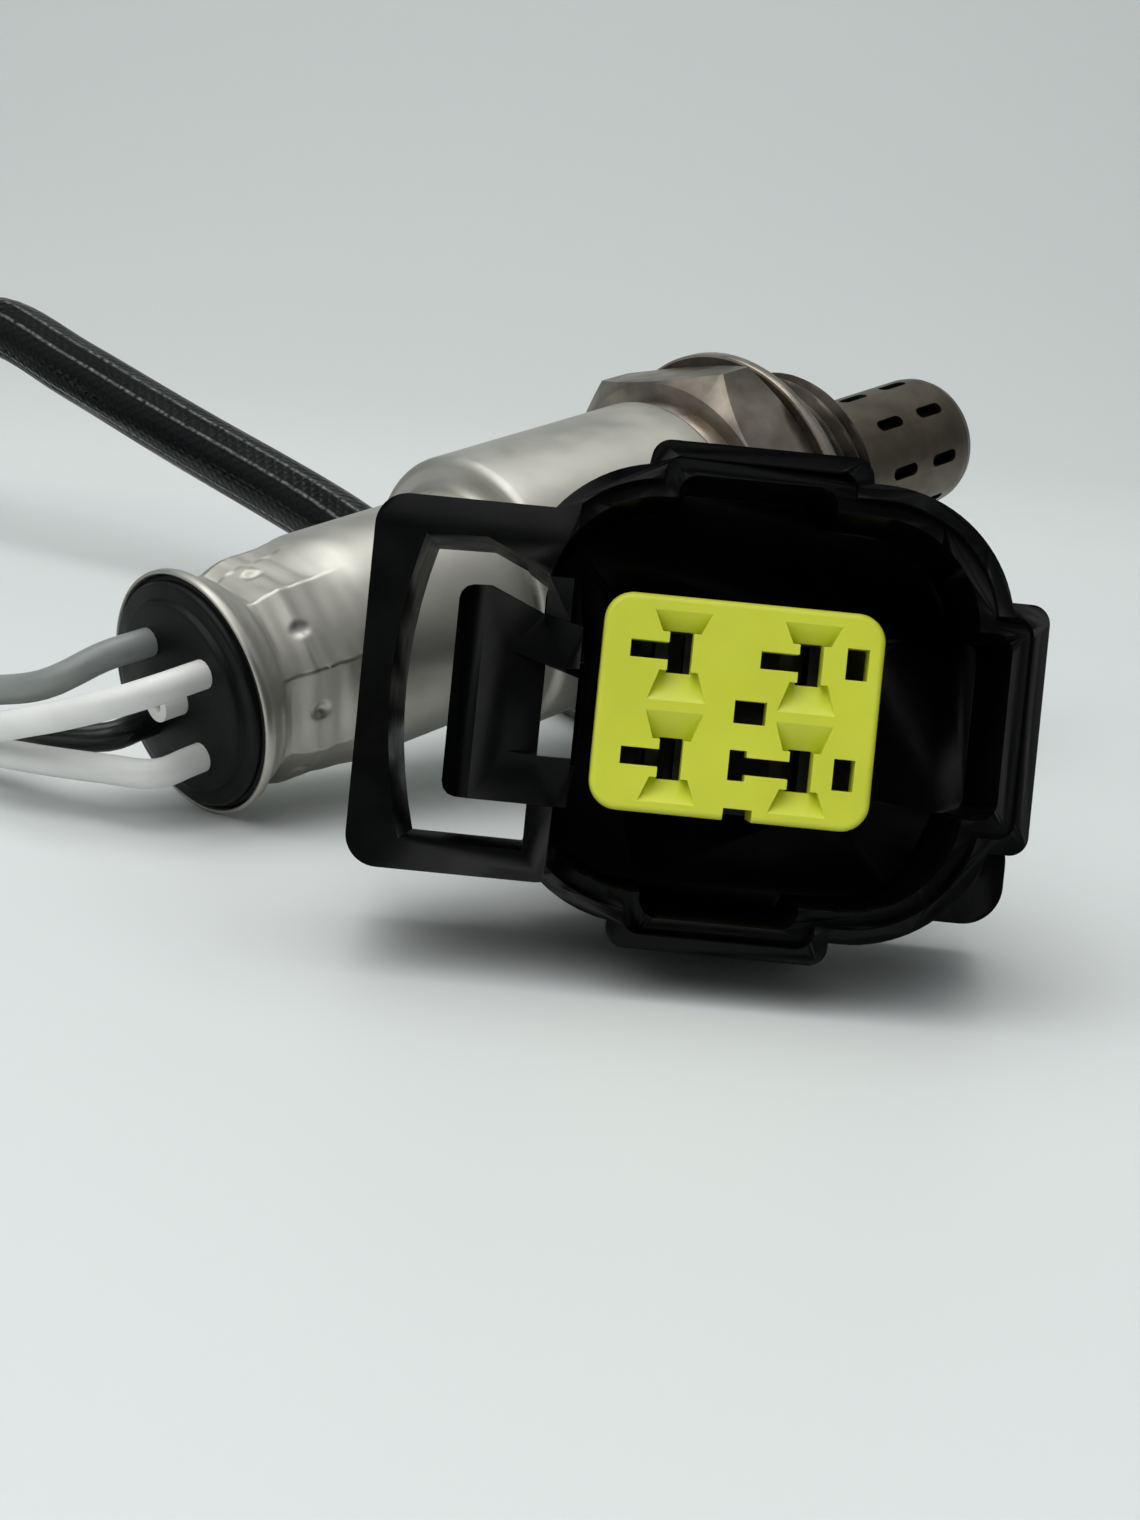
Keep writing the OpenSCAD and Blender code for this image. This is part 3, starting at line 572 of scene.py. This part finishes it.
def make_casing(sizes):
    """The drawn casing: thin lip, jaw-crimped neck with its dents, shoulder and wide sleeve."""
    outer = [(7.66, 0.9), (7.7, 0.3), (7.74, 0.1), (7.82, 0.02), (7.92, 0.02), (8.0, 0.1),
             (8.04, 0.25), (8.03, 0.55), (7.93, 0.8), (7.6, 1.2), (7.3, 1.6), (7.12, 2.0)]
    outer += [(7.05 + 0.75 * min(1, max(0, s - 2.6) / 2.2), s)
              for s in [CRIMP_FROM + 0.14 * i for i in range(57)]]
    outer += [(7.8, 10.6 + i) for i in range(12)]
    outer += [(7.8 + 0.8 * (1 - math.cos(math.radians(a))), 22.6 + 0.8 * math.sin(math.radians(a)))
              for a in range(0, 91, 15)]
    outer += [(9.1 + 0.8 * math.sin(math.radians(a)), 24.2 - 0.8 * math.cos(math.radians(a)))
              for a in range(0, 91, 15)]
    outer += [(9.9, 26.0 + 2 * i) for i in range(8)] + [(9.9, 42.0), (9.86, 42.22), (9.72, 42.3),
                                                        (9.35, 42.3), (9.3, 42.0), (9.3, 41.0)]
    press, dip = sizes.crimp_depth / MM, sizes.dent_depth / MM

    def outline(row, angle):
        r, s = row
        if CRIMP_FROM < s < CRIMP_TO:
            count = len(CRIMP_PRESS)
            pitch = 2 * math.pi / count
            turned = angle - math.radians(10) + pitch / 2
            at, off = int(turned // pitch), turned % pitch - pitch / 2
            beside = CRIMP_PRESS[(at + (1 if off > 0 else -1)) % count]
            share = 2 * (off / pitch) ** 2
            jaw = CRIMP_PRESS[at % count] * (1 - share) + beside * share
            # each jaw presses a flat with a small dent in it; a crease stands where two meet
            fade = min(1, (s - CRIMP_FROM) / 0.9) * min(1, (CRIMP_TO - s) / (2.6 + jaw))
            fade *= 1 - 0.12 * math.sin(2.1 * s + 7 * at) ** 2
            flat = (r - press * jaw) / math.cos(off)
            r += fade * (min(r, flat) - r)
            # the sheet buckles a little between the jaws
            r -= 0.05 * fade * (1 + math.sin(3 * angle + 1.6 * s) * math.cos(5 * angle - 1.1 * s))
            dent = math.hypot(off * r, 0.8 * (s - 4.6 - 0.5 * jaw))
            r -= dip * jaw * max(0.0, 1 - (dent / 0.65) ** 2) ** 1.5
        return r, s

    mesh = body_mesh("crimped_casing", *lathe(outer, 288, outline), 50)
    casing = add_piece("crimped_casing", mesh, [FINISHES["casing"]])
    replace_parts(casing, "casing")


def make_grommet():
    """The rubber grommet: a raised face with a moulded step round it, squeezed in the neck."""
    rows = [(1.1, 2.5), (1.1, -0.8), (1.2, -0.9), (5.95, -0.9), (6.1, -0.86), (6.2, -0.76),
            (6.24, -0.6), (6.34, -0.46), (6.5, -0.42), (7.1, -0.42), (7.24, -0.37), (7.34, -0.26),
            (7.38, -0.1), (7.4, 0.15), (7.62, 0.3), (7.6, 0.9), (6.6, 2.2), (6.2, 2.6), (6.2, 8.4),
            (1.1, 8.4), (1.1, 2.5)]
    mesh = body_mesh("grommet_moulding", *lathe(rows, 96, lambda row, angle: row), 40)
    grommet = add_piece("grommet_moulding", mesh, [FINISHES["grommet"]])
    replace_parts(grommet, "grommet")


# ------------------------------------------------------------------ lead
RING_R = 4.0  # of the wires' holes round the grommet's middle
MOUTH = Vector((-50, -19, 3.3))
# Angle of the hole, way points, place in the mouth across and up, finish and slot.
WIRES = {
    "white_wire_a": (35, [(-28.4, -31.6, 8), (-33, -29.6, 6.2), (-38, -26.2, 4.6)],
                     -1, 1, "wire_white", "white_insulation"),
    "white_wire_b": (-62, [(-28.9, -28, 3.2), (-33, -26.6, 3), (-37.6, -24.2, 2.7),
                           (-42.4, -21.9, 2.5)], -1, -1, "wire_white", "white_insulation"),
    "grey_wire": (125, [(-33, -27.8, 8.1), (-38, -24.2, 6.5)], 1, 1, "wire_grey",
                  "grey_insulation"),
    "black_wire": (-145, [(-33, -24.6, 4.2), (-38, -20.4, 3.2)], 1, -1, "wire_black",
                   "black_insulation"),
}
COIL_CENTRE = Vector((-119.1, 78.7, 0))
COIL_R, COIL_LOW, COIL_HIGH = 38.5, 3.9, 10.5
COIL_EXIT = math.radians(48.6)
# the painted glints on the sleeve run along these same creases
SLEEVE_FOLDS = (72, 38)  # degrees round the sleeve where it is creased along its length


def make_wires(sizes):
    """Four insulated wires from the grommet to the sleeve's mouth."""
    radius = sizes.wire_d / 2 / MM
    for name, (angle, between, y, z, finish, slot) in WIRES.items():
        inside = MOUTH + Vector((0, y * 0.95, z * 0.95))
        points = [on_sensor(8.5, angle, RING_R), on_sensor(-0.9, angle, RING_R),
                  on_sensor(-4.3, angle, RING_R), *[Vector(p) for p in between],
                  inside + Vector((4, 0, 0)), inside + Vector((-2.5, 0, 0))]
        route = smooth_route(points, 0.9)
        wire = add_tube(name + "_insulation", route, radius, FINISHES[finish], 16)
        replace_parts(wire, name)


def coil_point(turned):
    """A point on the coil, by the degrees turned clockwise from its west side."""
    angle = math.radians(180 - turned)
    climb = min(1.0, max(0.0, (turned - 262) / 60))
    height = COIL_LOW + (COIL_HIGH - COIL_LOW) * climb * climb * (3 - 2 * climb)
    return COIL_CENTRE + Vector((COIL_R * math.cos(angle), COIL_R * math.sin(angle), height))


def sleeve_section(angle):
    """The sleeve's outline: drawn in between the four wires, with two creases along it."""
    shape = 1 - 0.06 * abs(math.sin(2 * (angle - math.radians(22)))) ** 1.5
    for fold in SLEEVE_FOLDS:
        away = math.degrees(angle) - fold
        shape += 0.05 * math.exp(-(away / 5.5) ** 2)
    return min(1.0, shape)


def make_sleeve(sizes):
    """The black sleeve: from its open mouth round the coil and back to the plug's neck."""
    radius = sizes.sleeve_d / 2 / MM
    lead_in = [MOUTH, (-62, -18.8, 3.3), (-77, -16.4, 3.3), (-93, -11.2, 3.3), (-108, -3.4, 3.4),
               (-121, 6, 3.5), (-132.5, 17.2, 3.6), (-143, 30, 3.7), (-151.6, 43.6, 3.8),
               (-156.8, 56, 3.9), (-158.4, 67, 3.9), (-157.9, 74, 3.9)]
    coil = [coil_point(a) for a in range(0, 481, 10)]
    coil_end = COIL_CENTRE + Vector((COIL_R * math.cos(COIL_EXIT),
                                     COIL_R * math.sin(COIL_EXIT), COIL_HIGH))
    out = Vector((math.sin(COIL_EXIT), -math.cos(COIL_EXIT), 0))
    rear = PLUG_CENTRE + PLUG_LEN * PLUG_BACK
    lead_out = [coil_end, coil_end + 5 * out + Vector((0, 0, 0.5)), (-83.5, 100.8, 14.9),
                (-76.5, 96.6, 19.6), (-68.1, 91.4, 22.3), (-57, 82.8, 18.9),
                (-43, 71.3, 14.3), (-25.9, 57.2, 8.9), (-15.1, 44.2, 5), (-7, 31.5, 3.6),
                (-1, 20, 3.3), (3.1, 11.5, 3.3), (5.4, 5.2, 3.3), (7, -1.3, 4.3), (8, -8.5, 6),
                rear + Vector((0, 7.5, -1.6)), rear - PLUG_BACK * 0.6]
    route = smooth_route([Vector(p) for p in lead_in + coil + lead_out], 2.0)
    sleeve = add_tube("wire_sleeve", route, radius, FINISHES["sleeve"], 64,
                      bore=(radius - 0.55, 9), section=sleeve_section)
    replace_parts(sleeve, "sleeve_lead_in", "sleeve_coil", "sleeve_lead_out")


# ------------------------------------------------------------------ plug
# The plug's own frame is in mm: x across, y back from the mating face, z up.
TO_PLUG = Matrix.Scale(1 / MM, 4) @ PLUG.inverted()


def prism(outline, start, end):
    """A solid outline in x and z, from one depth to another."""
    count = len(outline)
    verts = [(x, y, z) for y in (start, end) for x, z in outline]
    faces = [tuple(range(count)), tuple(range(2 * count - 1, count - 1, -1))]
    faces += [(k, count + k, count + (k + 1) % count, (k + 1) % count) for k in range(count)]
    return verts, faces


def lever_cutters():
    """What is cut from the latch lever: a step back, a thumb bevel and a ramp to its window."""
    step = prism([(-8.4, -5.85), (-8.4, 3.6), (-10.5, 4.1), (-13.3, 5.6), (-15.4, 5.6),
                  (-15.4, -6.2), (-10.5, -6.2), (-10.5, -5.85)], -0.5, 1.0)
    bevel = ([(x, y, z) for z in (-6.2, 5.6) for x, y in
              [(-16.65, 1.0), (-15.1, -0.55), (-13.55, 1.0), (-15.1, 2.55)]],
             [(0, 1, 2, 3), (7, 6, 5, 4), (0, 4, 5, 1), (1, 5, 6, 2), (2, 6, 7, 3), (3, 7, 4, 0)])
    ramp = ([(-12.4, 0.9, 2.1), (-10.0, 0.9, 1.45), (-10.0, 0.9, -3.3), (-11.9, 0.9, -3.2),
             (-10.0, 1.9, 1.45), (-10.0, 1.9, -3.3)],
            [(0, 1, 2, 3), (0, 3, 5, 4), (1, 4, 5, 2), (0, 4, 1), (3, 2, 5)])
    return [step, bevel, ramp]


def soften_node(node, name, width, material, rim=None, cutters=()):
    """A copy of a CAD node's mesh, cut, its sharp edges rounded; rim = (radius, is_rim)."""
    mesh = frame["nodes"][node].data.copy()
    mesh.transform(TO_PLUG)
    shaped = bmesh.new()
    shaped.from_mesh(mesh)
    bmesh.ops.remove_doubles(shaped, verts=shaped.verts, dist=0.002)
    bmesh.ops.dissolve_limit(shaped, angle_limit=math.radians(1.0), verts=shaped.verts,
                             edges=shaped.edges, use_dissolve_boundaries=False)
    if rim:
        edges = [e for e in shaped.edges if len(e.link_faces) == 2 and e.calc_face_angle() > 1
                 and rim[1]((e.verts[0].co + e.verts[1].co) / 2)]
        bmesh.ops.bevel(shaped, geom=edges, offset=rim[0] / MM, segments=4, profile=0.5,
                        affect="EDGES", clamp_overlap=False)
    shaped.to_mesh(mesh)
    shaped.free()
    blank = bpy.data.objects.new("blank", mesh)
    tools = []
    for verts, faces in cutters:
        tool = bpy.data.meshes.new("cutter")
        tool.from_pydata(verts, [], faces)
        smooth_shade(tool, 30)
        tools.append(bpy.data.objects.new("cutter", tool))
        cut = blank.modifiers.new("cut", "BOOLEAN")
        cut.operation, cut.object, cut.solver = "DIFFERENCE", tools[-1], "EXACT"
    for o in (blank, *tools):
        bpy.context.scene.collection.objects.link(o)
    bevel = blank.modifiers.new("rounded_edges", "BEVEL")
    bevel.width, bevel.segments, bevel.angle_limit = width / MM, 2, math.radians(35)
    bevel.use_clamp_overlap = True
    view = bpy.context.evaluated_depsgraph_get()
    rounded = bpy.data.meshes.new_from_object(blank.evaluated_get(view))
    if not rounded.polygons:
        raise RuntimeError(name + " came out empty")
    rounded.shade_smooth()
    rounded.set_sharp_from_angle(angle=math.radians(40))
    # flat faces keep their own normals, so that only the rounded edges shade as curves
    blank.modifiers.clear()
    blank.data = rounded
    blank.modifiers.new("flat_faces", "WEIGHTED_NORMAL").keep_sharp = True
    view.update()
    made = bpy.data.meshes.new_from_object(blank.evaluated_get(view))
    for o in (blank, *tools):
        bpy.data.objects.remove(o)
    made.transform(TO_PLUG.inverted())
    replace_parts(add_piece(name, made, [material]), node)


def retainer_rim(p):
    """Whether a point in plug mm lies on the outer rim of the retainer's face."""
    x, z = abs(p.x), abs(p.z)
    return p.y < 1.1 and (x > 7.2 or z > 5.55 or (x > 5.85 and z > 4.2))


# ------------------------------------------------------------------ stage
def make_camera():
    """Camera at the angle the part is shown from."""
    data = bpy.data.cameras.new("camera")
    camera = bpy.data.objects.new("camera", data)
    bpy.context.scene.collection.objects.link(camera)
    data.sensor_width, data.lens = 36.0, 54.09
    data.clip_start, data.clip_end = 0.01, 20
    down, roll = 12.86, 5.6
    turn = (Matrix.Rotation(math.radians(90 - down), 4, "X")
            @ Matrix.Rotation(math.radians(roll), 4, "Z"))
    camera.matrix_world = Matrix.Translation((-0.000125, -0.16579, 0.0381)) @ turn
    bpy.context.scene.camera = camera


def make_floor(colours):
    """A pale sweep: a table curving up into a light backdrop."""

    def shader(material):
        # painted board: plain and matt, the table a shade darker than the sweep behind
        place = add_node(material, "ShaderNodeTexCoord", {}, {})["Object"]
        y = add_node(material, "ShaderNodeSeparateXYZ", {}, {"Vector": place})["Y"]
        fade = add_node(material, "ShaderNodeMapRange", {},
                        {"Value": y, "From Min": 0.08, "From Max": 0.17})["Result"]
        tone = add_node(material, "ShaderNodeMix", {"data_type": "RGBA"},
                        {0: fade, 6: tuple(colours.floor), 7: tuple(colours.backdrop)})[2]
        return {"Base Color": tone, "Roughness": 0.5}

    reach, start, bend, height = 4.0, 0.3, 0.35, 1.4
    profile = [(-reach, 0), (start, 0)]
    profile += [(start + bend * math.sin(math.radians(a)), bend - bend * math.cos(math.radians(a)))
                for a in range(6, 91, 6)] + [(start + bend, height)]
    mesh = bpy.data.meshes.new("floor")
    mesh.from_pydata([(x, y, z) for y, z in profile for x in (-reach, reach)], [],
                     [(2 * i, 2 * i + 1, 2 * i + 3, 2 * i + 2) for i in range(len(profile) - 1)])
    mesh.materials.append(finished("painted_board_sweep", shader))
    mesh.shade_smooth()
    floor = bpy.data.objects.new("floor", mesh)
    bpy.context.scene.collection.objects.link(floor)


def add_lamp(name, place, aim, size, power):
    """A soft rectangular lamp aimed at a point."""
    data = bpy.data.lights.new(name, "AREA")
    data.shape, data.size, data.size_y, data.energy = "RECTANGLE", size[0], size[1], power
    lamp = bpy.data.objects.new(name, data)
    bpy.context.scene.collection.objects.link(lamp)
    lamp.location = place
    lamp.rotation_euler = (Vector(aim) - Vector(place)).to_track_quat("-Z", "Y").to_euler()


def make_room():
    """A light tent open above, behind and to the left: dim on the near side."""
    world = bpy.data.worlds.new("soft_room")
    world.use_nodes = True
    back = world.node_tree.nodes["Background"]
    back.inputs["Color"].default_value = rgb("#F2F5F6")
    place = add_node(world, "ShaderNodeTexCoord", {}, {})["Generated"]
    way = add_node(world, "ShaderNodeSeparateXYZ", {}, {"Vector": place})
    behind = add_node(world, "ShaderNodeMapRange", {},
                      {"Value": way["Y"], "From Min": -0.5, "From Max": 0.6,
                       "To Min": 0.05, "To Max": 0.45})["Result"]
    above = add_node(world, "ShaderNodeMapRange", {},
                     {"Value": way["Z"], "From Min": 0.15, "From Max": 0.95,
                      "To Min": 0.0, "To Max": 0.45})["Result"]
    left = add_node(world, "ShaderNodeMapRange", {},
                    {"Value": way["X"], "From Min": -1.0, "From Max": -0.3,
                     "To Min": 0.4, "To Max": 0.0})["Result"]
    first = add_node(world, "ShaderNodeMath", {"operation": "ADD"}, {0: behind, 1: above})["Value"]
    total = add_node(world, "ShaderNodeMath", {"operation": "ADD"}, {0: first, 1: left})["Value"]
    world.node_tree.links.new(total, back.inputs["Strength"])
    bpy.context.scene.world = world


# ------------------------------------------------------------------ operators
class SENSOR_OT_camera(bpy.types.Operator):
    """Adds the camera"""

    bl_idname = "sensor.camera"
    bl_label = "Camera"

    def execute(self, context):
        make_camera()
        return {"FINISHED"}


class SENSOR_OT_finishes(bpy.types.Operator):
    """Makes every finish and gives it to the nodes that stay as they are"""

    bl_idname = "sensor.finishes"
    bl_label = "Finishes"

    def execute(self, context):
        make_finishes(context.scene.sensor_colours, context.scene.sensor_sizes)
        for name, key in NODE_FINISH.items():
            for slot in frame["nodes"][name].material_slots:
                slot.link = "OBJECT"
                slot.material = FINISHES[key]
        return {"FINISHED"}


class SENSOR_OT_wires(bpy.types.Operator):
    """Lays the four wires from the grommet to the sleeve"""

    bl_idname = "sensor.wires"
    bl_label = "Wires"

    def execute(self, context):
        make_wires(context.scene.sensor_sizes)
        return {"FINISHED"}


class SENSOR_OT_sleeve(bpy.types.Operator):
    """Lays the braided sleeve from the wires round its coil to the plug"""

    bl_idname = "sensor.sleeve"
    bl_label = "Sleeve"

    def execute(self, context):
        make_sleeve(context.scene.sensor_sizes)
        return {"FINISHED"}


class SENSOR_OT_shell(bpy.types.Operator):
    """Makes the hexagon, the flange and the cut thread of the steel shell"""

    bl_idname = "sensor.shell"
    bl_label = "Threaded shell"

    def execute(self, context):
        sizes = context.scene.sensor_sizes
        hexagon = make_hexagon(sizes)
        make_shell(sizes).parent = hexagon
        return {"FINISHED"}


class SENSOR_OT_casing(bpy.types.Operator):
    """Makes the drawn casing with its crimped neck"""

    bl_idname = "sensor.casing"
    bl_label = "Crimped casing"

    def execute(self, context):
        make_casing(context.scene.sensor_sizes)
        return {"FINISHED"}


class SENSOR_OT_grommet(bpy.types.Operator):
    """Makes the rubber grommet that the wires leave by"""

    bl_idname = "sensor.grommet"
    bl_label = "Grommet"

    def execute(self, context):
        make_grommet()
        return {"FINISHED"}


class SENSOR_OT_housing(bpy.types.Operator):
    """Makes the plug's housing and rear cover with the radii of a real mould"""

    bl_idname = "sensor.housing"
    bl_label = "Plug housing and cover"

    def execute(self, context):
        edge = context.scene.sensor_sizes.mould_edge
        soften_node("connector_housing", "plug_housing", edge, FINISHES["housing"],
                    cutters=lever_cutters())
        soften_node("seal_cover", "plug_cover", edge, FINISHES["housing"])
        return {"FINISHED"}


class SENSOR_OT_retainer(bpy.types.Operator):
    """Makes the yellow-green terminal retainer with its rounded rim"""

    bl_idname = "sensor.retainer"
    bl_label = "Terminal retainer"

    def execute(self, context):
        rim = (context.scene.sensor_sizes.retainer_edge, retainer_rim)
        soften_node("terminal_retainer", "plug_retainer", 0.1 * MM, FINISHES["lime"],
                    rim)
        return {"FINISHED"}


class SENSOR_OT_stage(bpy.types.Operator):
    """Adds the table, the backdrop, the room's light and the lamps"""

    bl_idname = "sensor.stage"
    bl_label = "Stage"

    def execute(self, context):
        lamps = context.scene.sensor_lamps
        make_floor(context.scene.sensor_colours)
        make_room()
        add_lamp("overhead", (-0.06, 0.03, 0.6), (0, 0, 0), (0.62, 0.45), lamps.overhead)
        add_lamp("front_left", (-0.2, -0.36, 0.44), (0, -0.03, 0.01), (0.56, 0.4), lamps.front)
        context.scene.view_settings.view_transform = "Standard"
        return {"FINISHED"}


class SENSOR_PT_panel(bpy.types.Panel):
    """Lists the settings and the steps in their order"""

    bl_idname = "SENSOR_PT_panel"
    bl_label = "Oxygen Sensor"
    bl_space_type = "VIEW_3D"
    bl_region_type = "UI"
    bl_category = "Oxygen Sensor"

    def draw(self, context):
        scene = context.scene
        for group in (scene.sensor_sizes, scene.sensor_colours, scene.sensor_lamps):
            box = self.layout.box()
            for key in group.__annotations__:
                box.prop(group, key)
        for step in STEPS:
            self.layout.operator(step.bl_idname)


# The camera and the cords come first.
STEPS = (SENSOR_OT_camera, SENSOR_OT_finishes, SENSOR_OT_wires, SENSOR_OT_sleeve,
         SENSOR_OT_shell, SENSOR_OT_casing, SENSOR_OT_grommet, SENSOR_OT_housing,
         SENSOR_OT_retainer, SENSOR_OT_stage)
GROUPS = {"sensor_sizes": SensorSizes, "sensor_colours": SensorColours,
          "sensor_lamps": SensorLamps}


def register():
    """Adds the settings and the steps to Blender."""
    for cls in (*GROUPS.values(), *STEPS, SENSOR_PT_panel):
        bpy.utils.register_class(cls)
    for name, cls in GROUPS.items():
        setattr(bpy.types.Scene, name, PointerProperty(type=cls))


def unregister():
    """Takes them away again."""
    for name in GROUPS:
        delattr(bpy.types.Scene, name)
    for cls in reversed((*GROUPS.values(), *STEPS, SENSOR_PT_panel)):
        bpy.utils.unregister_class(cls)


def main():
    """Registers the add-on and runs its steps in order."""
    register()
    bpy.ops.sensor.camera()
    bpy.ops.sensor.finishes()
    bpy.ops.sensor.wires()
    bpy.ops.sensor.sleeve()
    bpy.ops.sensor.shell()
    bpy.ops.sensor.casing()
    bpy.ops.sensor.grommet()
    bpy.ops.sensor.housing()
    bpy.ops.sensor.retainer()
    bpy.ops.sensor.stage()


if __name__ == "__main__":
    main()
